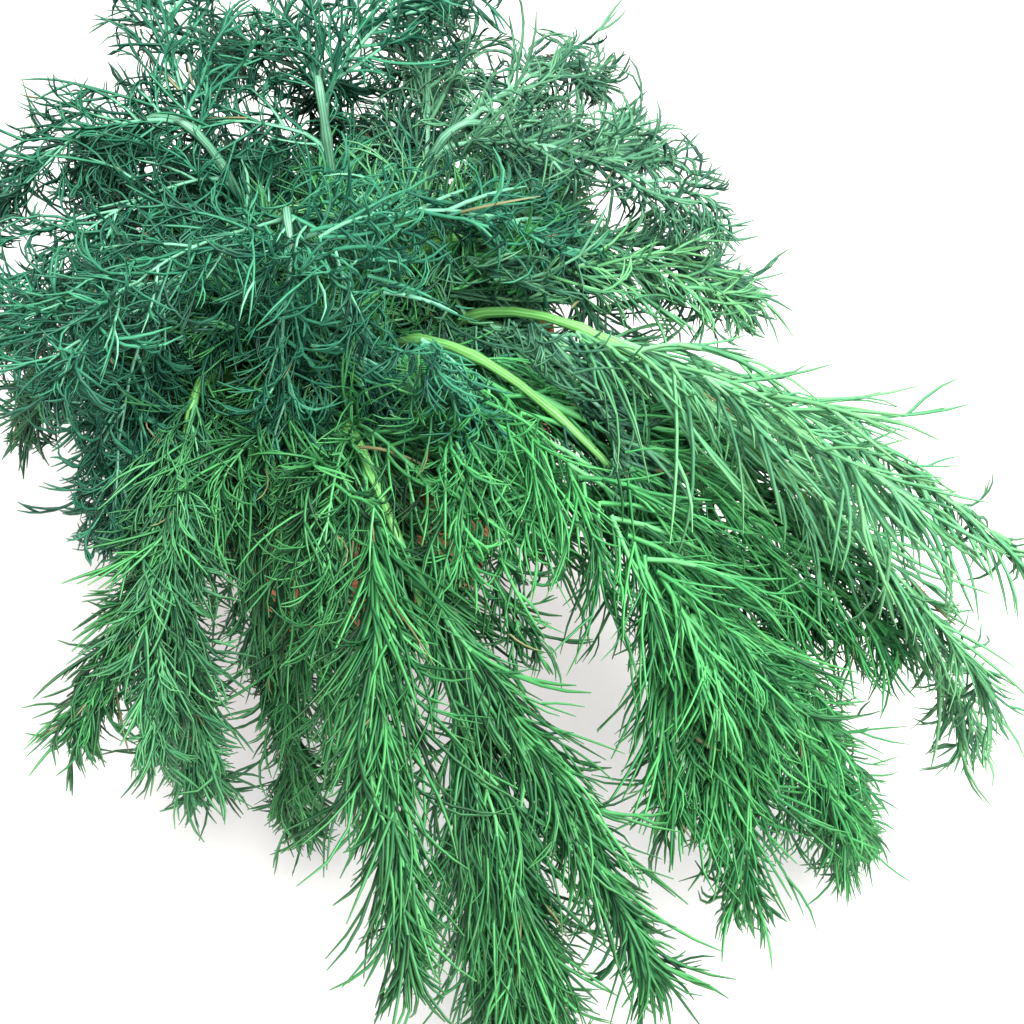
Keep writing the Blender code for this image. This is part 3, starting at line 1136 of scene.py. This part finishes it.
class Habit(Enum):
    """The ways that dill leaves grow on this plant."""

    LONG = FrondHabit(
        pairs=19, pinna_share=0.15, pinna_angle=20.0, thread_length=0.029, thread_radius=0.00045,
        splay=11.0, scatter=12.0, curl=0.55, sag=0.45, bold=0.36, sweep=0.4, threads=13, roll=48.0,
    )
    FINE = FrondHabit(
        pairs=18, pinna_share=0.33, pinna_angle=43.0, thread_length=0.023, thread_radius=0.00037,
        splay=18.0, scatter=13.0, curl=0.45, sag=0.55, bold=0.26, sweep=0.2, threads=16,
        blade_start=0.05, roll=34.0, forks=0.55, rib_radius=0.0008,
    )
    LOOSE = FrondHabit(
        pairs=10, pinna_share=0.17, pinna_angle=24.0, thread_length=0.03, thread_radius=0.00044,
        splay=14.0, scatter=13.0, curl=0.55, sag=0.7, bold=0.4, sweep=0.45, threads=7, roll=36.0,
    )
    FULL = FrondHabit(
        pairs=15, pinna_share=0.22, pinna_angle=40.0, thread_length=0.0215, thread_radius=0.00043,
        splay=23.0, scatter=19.0, curl=0.7, sag=0.32, bold=0.25, sweep=0.1, forks=0.7,
        rib_radius=0.00065,
    )
    BUSHY = FrondHabit(
        pairs=17, pinna_share=0.19, pinna_angle=34.0, thread_length=0.02, thread_radius=0.00042,
        splay=19.0, scatter=18.0, curl=0.65, sag=0.4, bold=0.25, sweep=0.3, threads=12, roll=42.0,
        forks=0.65, rib_radius=0.00065,
    )
    CURLY = FrondHabit(
        pairs=14, pinna_share=0.3, pinna_angle=48.0, thread_length=0.0175, thread_radius=0.0004,
        splay=34.0, scatter=28.0, curl=1.25, sag=0.16, bold=0.2, sweep=0.0, forks=0.95,
        rib_radius=0.00072,
    )
    HANGING = FrondHabit(
        pairs=12, pinna_share=0.2, pinna_angle=28.0, thread_length=0.026, thread_radius=0.00043,
        splay=14.0, scatter=12.0, curl=0.5, sag=0.45, bold=0.35, sweep=0.4, blade_start=0.1,
        roll=38.0,
    )
    YOUNG = FrondHabit(
        pairs=11, pinna_share=0.28, pinna_angle=44.0, thread_length=0.019, thread_radius=0.00041,
        splay=27.0, scatter=22.0, curl=0.9, sag=0.28, bold=0.2, sweep=0.1, threads=8,
        blade_start=0.14, forks=0.7, rib_radius=0.0006,
    )


@dataclass
class Frond:
    """A dill leaf: a grooved rib that clasps its stem, opposite side shoots, and forking threads."""

    SHADES = 10
    RIB_ROW = 8
    DRY_ROW = 9
    SHADE_MIDDLE, SHADE_SWING, SHADE_CHANCE = 0.46, 0.42, 0.23
    RIB_SHADE = 1.05
    TWIST = 18.0
    FEET = 8
    LONGER, SHORTER = 1.35, 0.85
    THICKER, THINNER = 1.15, 0.82

    rib: Line
    across: np.ndarray
    habit: FrondHabit
    seed: int
    dry: float = 0.004

    def __post_init__(self) -> None:
        """Prepares the leaf's own chance numbers and its twist."""
        self.rng = np.random.default_rng(self.seed)
        self.twist = math.radians(float(self.rng.normal(0.0, self.TWIST)))
        self.strands: list[Strand] = []

    def frame_at(self, share: float) -> tuple[np.ndarray, np.ndarray, np.ndarray, np.ndarray]:
        """The rib's point, its direction, and the leaf's own sideways and upward directions.

        Args:
            share: The share of the rib's length.

        Returns:
            The point and the three directions.
        """
        forward = self.rib.direction(share)
        side = unit(self.across - forward * float(self.across @ forward))
        up = np.cross(forward, side)
        up = up if up[2] >= 0 else -up
        turn = self.twist * share
        side, up = (side * math.cos(turn) + up * math.sin(turn), up * math.cos(turn) - side * math.sin(turn))
        return self.rib.at(share), forward, side, up

    def grow(
        self, start: np.ndarray, direction: np.ndarray, length: float, pull: np.ndarray, count: int
    ) -> np.ndarray:
        """A path that sets out in one direction and bends evenly towards another.

        Args:
            start: Where it starts.
            direction: The unit direction that it starts in.
            length: Its length.
            pull: The way that it bends, as long as the whole bend in radians.
            count: How many points it has.

        Returns:
            The points.
        """
        shares = (np.arange(count - 1) + 0.5) / (count - 1)
        aside = pull - direction * float(pull @ direction)
        bend = float(np.linalg.norm(aside))
        turns = shares[:, None] * bend
        headings = np.cos(turns) * direction + np.sin(turns) * (aside / max(1e-9, bend))
        return np.vstack((start, start + np.cumsum(headings * (length / (count - 1)), axis=0)))

    def add(self, points: np.ndarray, thick: float, thin: float, shade: float) -> None:
        """Keeps a thread that tapers, with a blunt tip.

        Args:
            points: Its points.
            thick: Its radius at its foot.
            thin: Its radius near its tip.
            shade: How light it is, from 0 to 1, or more than RIB_SHADE for a rib.
        """
        shares = np.linspace(0.0, 1.0, len(points))
        radii = thick + (thin - thick) * shares**1.5
        radii[-1] *= 0.5
        row = int(np.clip(shade * self.RIB_ROW, 0, self.RIB_ROW - 1))
        row = self.RIB_ROW if shade > self.RIB_SHADE else row
        self.strands.append(Strand(points, radii, self.DRY_ROW if self.rng.random() < self.dry else row))

    def shade(self, height: float) -> float:
        """A thread's shade: painted light on threads that point up off the leaf's face, painted shade on
        those that point beneath it, and a random tone so that it is never the same twice.
        """
        # Painted shade: threads that point down get deeper rows, and threads that point up get lighter ones.
        lit = self.SHADE_MIDDLE + self.SHADE_SWING * height
        return float(np.clip(lit + self.rng.normal(0.0, self.SHADE_CHANCE), 0.02, 0.90))

    def add_thread(
        self, start: np.ndarray, direction: np.ndarray, length: float, up: np.ndarray, forward: np.ndarray
    ) -> None:
        """Grows a thread and up to two that fork from it.

        Args:
            start: Where it leaves its side shoot.
            direction: The way it sets out.
            length: Its length.
            up: The leaf's upward direction.
            forward: The direction of the leaf's rib.
        """
        habit, rng = self.habit, self.rng
        wander = rng.normal(0.0, habit.curl, 3)
        pull = wander - direction * float(wander @ direction) - UP * habit.sag * rng.uniform(0.3, 1.5)
        pull += forward * habit.sweep
        bold = rng.random() < habit.bold
        length *= self.LONGER if bold else self.SHORTER
        thick = habit.thread_radius * rng.uniform(0.85, 1.15) * (self.THICKER if bold else self.THINNER)
        path = self.grow(start, direction, length, pull, 6 if bold else 5)
        shade = self.shade(float(direction @ up)) + (0.12 if bold else -0.04)
        self.add(path, thick, 0.6 * thick, shade)
        for _ in range(int(rng.random() < habit.forks) + int(rng.random() < 0.5 * habit.forks)):
            spot = rng.uniform(0.2, 0.65) * (len(path) - 1)
            index = int(spot)
            foot = path[index] + (path[index + 1] - path[index]) * (spot - index)
            heading = unit(path[index + 1] - path[index])
            away = rng.normal(0.0, 1.0, 3)
            away = unit(away - heading * float(away @ heading))
            branch = unit(heading + away * rng.uniform(0.3, 0.7))
            part = self.grow(foot, branch, length * rng.uniform(0.4, 0.68), pull * 0.9 - away * 0.3, 4)
            self.add(part, 0.92 * thick, 0.55 * thick, shade + rng.normal(0.0, 0.08))

    def add_pinna(self, share: float, sign: int) -> None:
        """Grows one side shoot with its threads.

        Args:
            share: Where on the rib it stands.
            sign: -1 or 1, its side of the rib.
        """
        habit, rng = self.habit, self.rng
        spot, forward, side, up = self.frame_at(share)
        inside = (share - habit.blade_start) / (1 - habit.blade_start)
        size = (0.62 + 1.0 * inside) * max(0.0, 1 - inside) ** 0.6
        length = habit.pinna_share * self.rib.length * max(0.14, size) * rng.uniform(0.8, 1.2)
        angle = math.radians(habit.pinna_angle * (1 - 0.35 * inside) + rng.normal(0.0, 9.0))
        roll = math.radians(rng.normal(6.0, habit.roll))
        outward = side * (sign * math.cos(roll)) + up * math.sin(roll)
        heading = unit(forward * math.cos(angle) + outward * math.sin(angle))
        path = self.grow(spot, heading, length, forward * 0.5 - UP * habit.sag * 0.8, 5)
        self.add(path, 0.8 * habit.rib_radius, 0.45 * habit.rib_radius, rng.uniform(0.70, 1.25))
        axis = Line(path)
        feet = [(axis.at(along), axis.direction(along)) for along in np.linspace(0.05, 1.0, self.FEET)]
        for number in range(habit.threads):
            along = 0.10 + 0.90 * (number + rng.random()) / habit.threads
            foot, ahead = feet[min(self.FEET - 1, int((self.FEET - 0.01) * along))]
            foot = foot + ahead * length * rng.uniform(-0.06, 0.06)
            beside = unit(np.cross(up, ahead)) * (1 if number % 2 else -1)
            splay = math.radians(habit.splay * (1 - 0.45 * along) + rng.normal(0.0, 0.4 * habit.splay))
            lift = math.radians(rng.normal(0.0, habit.scatter))
            direction = unit(ahead * math.cos(splay) + beside * math.sin(splay) + up * math.sin(lift))
            tapered = habit.thread_length * (1.05 - 0.35 * along) * (1 - 0.35 * inside)
            self.add_thread(foot, direction, tapered * rng.uniform(0.65, 1.25), up, forward)

    def grown(self) -> list[Strand]:
        """Grows the whole leaf.

        Returns:
            Its rib, side shoots and threads.
        """
        habit = self.habit
        shares = np.linspace(0.0, 0.98, 16)
        radii = habit.rib_radius * (1 - 0.6 * shares)
        radii[:2] = 1.6 * habit.rib_radius, 1.35 * habit.rib_radius
        points = np.array([self.rib.at(share) for share in shares])
        self.strands.append(Strand(points, radii, self.RIB_ROW))
        for pair in range(habit.pairs):
            share = habit.blade_start + (0.97 - habit.blade_start) * (pair / (habit.pairs - 1)) ** 0.92
            for sign in (-1, 1):
                self.add_pinna(min(0.98, max(0.02, share + self.rng.normal(0.0, 0.008))), sign)
        return self.strands


# ---------------------------------------------------------------------------
# The plant
# ---------------------------------------------------------------------------


@dataclass
class Parting:
    """A parting in the foliage above a stem, where the stem lies bare to the light."""

    line: Line
    low: float
    high: float
    half_width: float = 0.0036
    clearance: float = 0.0012
    lean: float = 60.0
    count: int = 36

    def __post_init__(self) -> None:
        """Samples the bare stretch."""
        shares = np.linspace(self.low, self.high, self.count)
        self.spots = np.array([self.line.at(share) for share in shares])
        tilt = math.radians(self.lean)
        self.out = np.array((0.0, -math.cos(tilt), math.sin(tilt)))

    def covers(self, points: np.ndarray) -> bool:
        """Finds whether a strand crosses the space over the bare stretch.

        Args:
            points: The strand's points.

        Returns:
            True where it does.
        """
        gaps = points[:, None, :] - self.spots[None, :, :]
        above = gaps @ self.out
        beside = np.linalg.norm(gaps - above[..., None] * self.out, axis=2)
        return bool(((above > self.clearance) & (beside < self.half_width)).any())


@dataclass(frozen=True)
class Room:
    """The space that the foliage fills: the frame's box and a little beyond it, but never below the floor.

    Each field is how far past that side of the box a thread may reach, in metres.
    """

    left: float = 0.0045
    right: float = 0.0125
    front: float = 0.0105
    back: float = 0.0070
    top: float = 0.0140
    floor: float = 0.0005
    rise: float = 0.12
    shortest: float = 0.3

    def fitted(self, strand: Strand) -> Strand | None:
        """A strand that lies along the floor where it would pass through it, and ends inside the room.

        Args:
            strand: The strand as it grew.

        Returns:
            The strand as it is kept, or None where too little of it would be left.
        """
        low = np.array(CAD_BOX[0]) - (self.left, self.front, 0.0)
        high = np.array(CAD_BOX[1]) + (self.right, self.back, self.top)
        points = strand.points.copy()
        bed = self.floor + strand.radii
        under = points[:, 2] < bed
        points[under, 2] = (bed + self.rise * (bed - points[:, 2]))[under]
        reach = points - points[0]
        ends = np.where(reach > 0, high, low) - points[0]
        shares = np.divide(ends, reach, out=np.ones_like(reach), where=np.abs(reach) > 1e-9)
        share = float(min(1.0, shares.min()))
        if share < self.shortest:
            return None
        return Strand(points[0] + share * reach, strand.radii, strand.shade)


class Tint(Enum):
    """The greens of the plant: pale and yellow where it flops into the light, blue and deep in its crown.
    The pale tints are partly painted light and the deep blue ones partly painted shade, on top of the crown's
    real bluish bloom.
    """

    # Pale tints carry painted light, and the deep blue tints carry painted shade as well as the crown's real
    # bloom.
    PALE = ThreadLeaf("dill_leaf_pale", "#2b5940", "#519367", "#6cad74", "#78b382", "#78af71")
    BRIGHT = ThreadLeaf("dill_leaf_bright", "#113820", "#337c49", "#52aa61", "#62b170", "#5cab5e")
    FRESH = ThreadLeaf("dill_leaf_fresh", "#071f11", "#29643c", "#4e9e5c", "#5aa66a", "#579f5a")
    MOSS = ThreadLeaf("dill_leaf_moss", "#133523", "#346f4b", "#559e66", "#5fa672", "#5f9f63")
    GREY = ThreadLeaf("dill_leaf_grey", "#1a3c31", "#386a54", "#59936e", "#72ad8c", "#63946b")
    BLUE = ThreadLeaf("dill_leaf_blue", "#0b2f25", "#205b48", "#3c8967", "#6bac8c", "#438a64")


@dataclass(frozen=True)
class Shoot:
    """One shoot's leaves and skin, and its leaves that no solid holds.

    Young leaves stand round its foot. Hanging leaves fall from its bend, in a compass direction in degrees.
    """

    habit: Habit
    tint: Tint
    young: int
    glaucous: bool = False
    hanging: int = 0
    fall: float = -80.0


SHOOTS: dict[str, Shoot] = {
    "right": Shoot(Habit.LOOSE, Tint.PALE, 4),
    "front_right": Shoot(Habit.FINE, Tint.BRIGHT, 5, hanging=4, fall=-76.0),
    "front": Shoot(Habit.LONG, Tint.FRESH, 6, hanging=4, fall=-70.0),
    "front_low": Shoot(Habit.BUSHY, Tint.FRESH, 7),
    "front_left": Shoot(Habit.BUSHY, Tint.MOSS, 7),
    "left": Shoot(Habit.CURLY, Tint.BLUE, 5, True),
    "back_left": Shoot(Habit.CURLY, Tint.BLUE, 7, True),
    "back": Shoot(Habit.CURLY, Tint.BLUE, 4, True),
    "back_right": Shoot(Habit.CURLY, Tint.GREY, 4, True),
    "right_high": Shoot(Habit.FULL, Tint.GREY, 4),
    "centre": Shoot(Habit.CURLY, Tint.BLUE, 6, True),
}


@dataclass(frozen=True)
class Arch:
    """How the rib of a leaf that no solid holds rises from its stem, bends over and hangs.

    Each pair is the least and the most that chance gives. Angles are degrees.
    """

    length: float
    sizes: tuple[float, float]
    rises: tuple[float, float]
    falls: tuple[float, float]
    points: int = 12

    def rib(self, stem: Line, share: float, turn: float, rng: np.random.Generator) -> tuple[Line, np.ndarray]:
        """Draws one rib.

        Args:
            stem: The stem.
            share: Where on the stem the leaf stands.
            turn: The leaf's compass direction, in radians.
            rng: Where the numbers come from.

        Returns:
            The rib, and the level direction across the leaf.
        """
        out = np.array((math.cos(turn), math.sin(turn), 0.0))
        slopes = np.radians(np.linspace(rng.uniform(*self.rises), rng.uniform(*self.falls), self.points - 1))
        steps = np.cos(slopes)[:, None] * out + np.sin(slopes)[:, None] * UP
        step = self.length * rng.uniform(*self.sizes) / (self.points - 1)
        foot = stem.at(share)
        points = np.vstack((foot, foot + np.cumsum(steps * step, axis=0)))
        return Line(points), np.array((-out[1], out[0], 0.0))


@dataclass
class DillPlant:
    """All the shoots, each with its stem and its leaves."""

    fresh_skin: StemSkin = StemSkin("dill_stem_fresh", "#5aa34e", "#86cc78", "#a9c08a")
    glaucous_skin: StemSkin = StemSkin("dill_stem_glaucous", "#477d62", "#72aa8c", "#a4b894")
    young: Arch = Arch(0.066, (0.8, 1.25), (38.0, 62.0), (-68.0, -34.0))
    young_stretch: tuple[float, float] = (0.24, 0.50)
    hanging: Arch = Arch(0.072, (0.85, 1.15), (0.0, 15.0), (-70.0, -45.0))
    hanging_stretch: tuple[float, float] = (0.76, 0.98)
    hanging_spread: float = 14.0
    root_reach: float = 0.006
    stem_points: int = 64
    rib_points: int = 28
    free_seed: int = 7000
    shoot_seeds: int = 100
    young_seeds: int = 50
    hanging_seeds: int = 80
    bare: dict[str, tuple[float, float]] = field(default_factory=lambda: {
        "right": (0.42, 0.60), "front_right": (0.40, 0.72)})
    partings: list[Parting] = field(default_factory=list)
    room: Room = Room()

    def petiole(self, stem: Line, rib: Line) -> Line:
        """A rib carried back to the middle of its stem, so that it leaves the stem in a smooth curve.

        Args:
            stem: The stem.
            rib: The rib from the stem's side outwards.

        Returns:
            The longer rib.
        """
        joint = stem.nearest(rib.points[0])[1]
        low = max(0.0, joint - self.root_reach / stem.length)
        start = [stem.at(low), 0.6 * stem.at(joint) + 0.4 * rib.points[0]]
        return Line(np.vstack((start, rib.points[1:]))).smoothed(self.rib_points)

    def leaf(
        self, name: str, strands: list[Strand], finish: bpy.types.Material, *nodes: str
    ) -> bpy.types.Object:
        """Turns grown strands into a piece, without those that have no room or hide a bare stem.

        Args:
            name: The piece's name.
            strands: The strands.
            finish: Its material.
            nodes: The nodes that it stands for.

        Returns:
            The piece.
        """
        kept = [fitted for strand in strands if (fitted := self.room.fitted(strand))]
        kept = [strand for strand in kept if not any(part.covers(strand.points) for part in self.partings)]
        mesh = strand_mesh(name, kept, Frond.SHADES)
        return settle(place_object(name, mesh, finish), "leaf_green", *nodes)

    def free_leaves(self, order: int, shoot: Shoot, stem: Line) -> list[Strand]:
        """Grows a shoot's young and hanging leaves.

        Args:
            order: The shoot's number.
            shoot: The shoot.
            stem: Its stem.

        Returns:
            The strands of all of them.
        """
        rng = np.random.default_rng(self.free_seed + order)
        strands = []
        for number in range(shoot.young):
            share = rng.uniform(*self.young_stretch)
            turn = 2 * math.pi * (number + rng.random()) / shoot.young
            rib, across = self.young.rib(stem, share, turn, rng)
            seed = self.shoot_seeds * order + self.young_seeds + number
            strands += Frond(rib, across, Habit.YOUNG.value, seed).grown()
        low, high = self.hanging_stretch
        for number in range(shoot.hanging):
            share = low + (high - low) * (number + 0.5 * rng.random()) / shoot.hanging
            turn = math.radians(shoot.fall + rng.uniform(-self.hanging_spread, self.hanging_spread))
            rib, across = self.hanging.rib(stem, share, turn, rng)
            seed = self.shoot_seeds * order + self.hanging_seeds + number
            strands += Frond(rib, across, Habit.HANGING.value, seed).grown()
        return strands

    def build(self) -> list[bpy.types.Object]:
        """Makes every stem and leaf.

        Returns:
            The pieces.
        """
        skins = {False: self.fresh_skin.material(), True: self.glaucous_skin.material()}
        tints = {tint: tint.value.material() for tint in Tint}
        stems = {name: Solid(f"stem_{name}").rings() for name in SHOOTS}
        self.partings = [Parting(stems[name], low, high) for name, (low, high) in self.bare.items()]
        made = []
        for order, (name, shoot) in enumerate(SHOOTS.items()):
            finish = tints[shoot.tint]
            fine = stems[name].smoothed(self.stem_points)
            joints = []
            leaves = sorted(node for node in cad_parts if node.rpartition("_")[0] == f"leaf_{name}")
            for number, node in enumerate(leaves):
                rib, across = LeafSolid(node).rib(fine)
                joints.append(fine.nearest(rib.points[0])[1])
                seed = self.shoot_seeds * order + number
                frond = Frond(self.petiole(fine, rib), across, shoot.habit.value, seed)
                made.append(self.leaf(node + "_threads", frond.grown(), finish, node))
            made.append(self.leaf(f"young_leaves_{name}", self.free_leaves(order, shoot, fine), finish))
            made.append(RibbedStem(f"stem_{name}", stems[name], joints, skins[shoot.glaucous]).build())
        return made


# ---------------------------------------------------------------------------
# The studio
# ---------------------------------------------------------------------------


@dataclass
class Studio:
    """A pale floor, soft lights and the camera."""

    target: Vector = field(default_factory=lambda: Vector((0.049, -0.045, 0.095)))
    distance: float = 0.40
    elevation: float = 60.0
    lens: float = 54.0
    floor_size: float = 4.0
    floor_gap: float = 0.0002
    sky_strength: float = 0.24

    def add_floor(self) -> None:
        """Lays the floor just under the pot."""
        shape = bmesh.new()
        bmesh.ops.create_grid(shape, x_segments=1, y_segments=1, size=self.floor_size,
                              matrix=Matrix.Translation((0.0, 0.0, -self.floor_gap)))
        place_object("floor", mesh_of("floor", shape), LightTable().material())

    def add_light(
        self, name: str, spot: tuple[float, float, float], size: float, power: float, colour: str
    ) -> None:
        """Hangs a soft light that faces the plant.

        Args:
            name: Its name.
            spot: Where it hangs.
            size: The side of its square.
            power: Its power in watts.
            colour: Its colour.
        """
        lamp = bpy.data.lights.new(name, "AREA")
        lamp.size, lamp.energy, lamp.color = size, power, linear(colour)[:3]
        made = linked(name, lamp)
        made.location = spot
        made.rotation_euler = (self.target - Vector(spot)).to_track_quat("-Z", "Y").to_euler()

    def add_camera(self) -> None:
        """Sets up the camera, above the plant's front."""
        tilt = math.radians(self.elevation)
        camera = bpy.data.cameras.new("camera")
        camera.lens, camera.sensor_width, camera.clip_start = self.lens, 36.0, 0.01
        made = linked("camera", camera)
        back = Vector((0.0, -math.cos(tilt), math.sin(tilt)))
        made.location = self.target + back * self.distance
        made.rotation_euler = (-back).to_track_quat("-Z", "Y").to_euler()
        bpy.context.scene.camera = made

    def build(self) -> None:
        """Builds the studio."""
        self.add_floor()
        self.add_light("key", (0.25, -0.20, 1.20), 0.80, 44.0, "#fffdfa")
        self.add_light("fill", (-0.9, -0.7, 0.8), 1.0, 3.0, "#f2f7ff")
        self.add_light("back", (0.1, 1.0, 0.9), 1.0, 4.0, "#ffffff")
        world = bpy.data.worlds.new("studio")
        world.use_nodes = True
        sky = world.node_tree.nodes["Background"]
        sky.inputs["Color"].default_value = linear("#ffffff")
        sky.inputs["Strength"].default_value = self.sky_strength
        bpy.context.scene.world = world
        bpy.context.scene.view_settings.view_transform = "Standard"
        self.add_camera()


def main() -> None:
    """Builds the pot, the compost, the plant and the studio."""
    logging.basicConfig(level=logging.INFO, format="%(name)s: %(message)s")
    pot = ClayPot()
    pot.build()
    CompostBed(pot).build()
    pieces = DillPlant().build()
    Studio().build()
    log.info("%d stems and leaves", len(pieces))


if __name__ == "__main__":
    main()
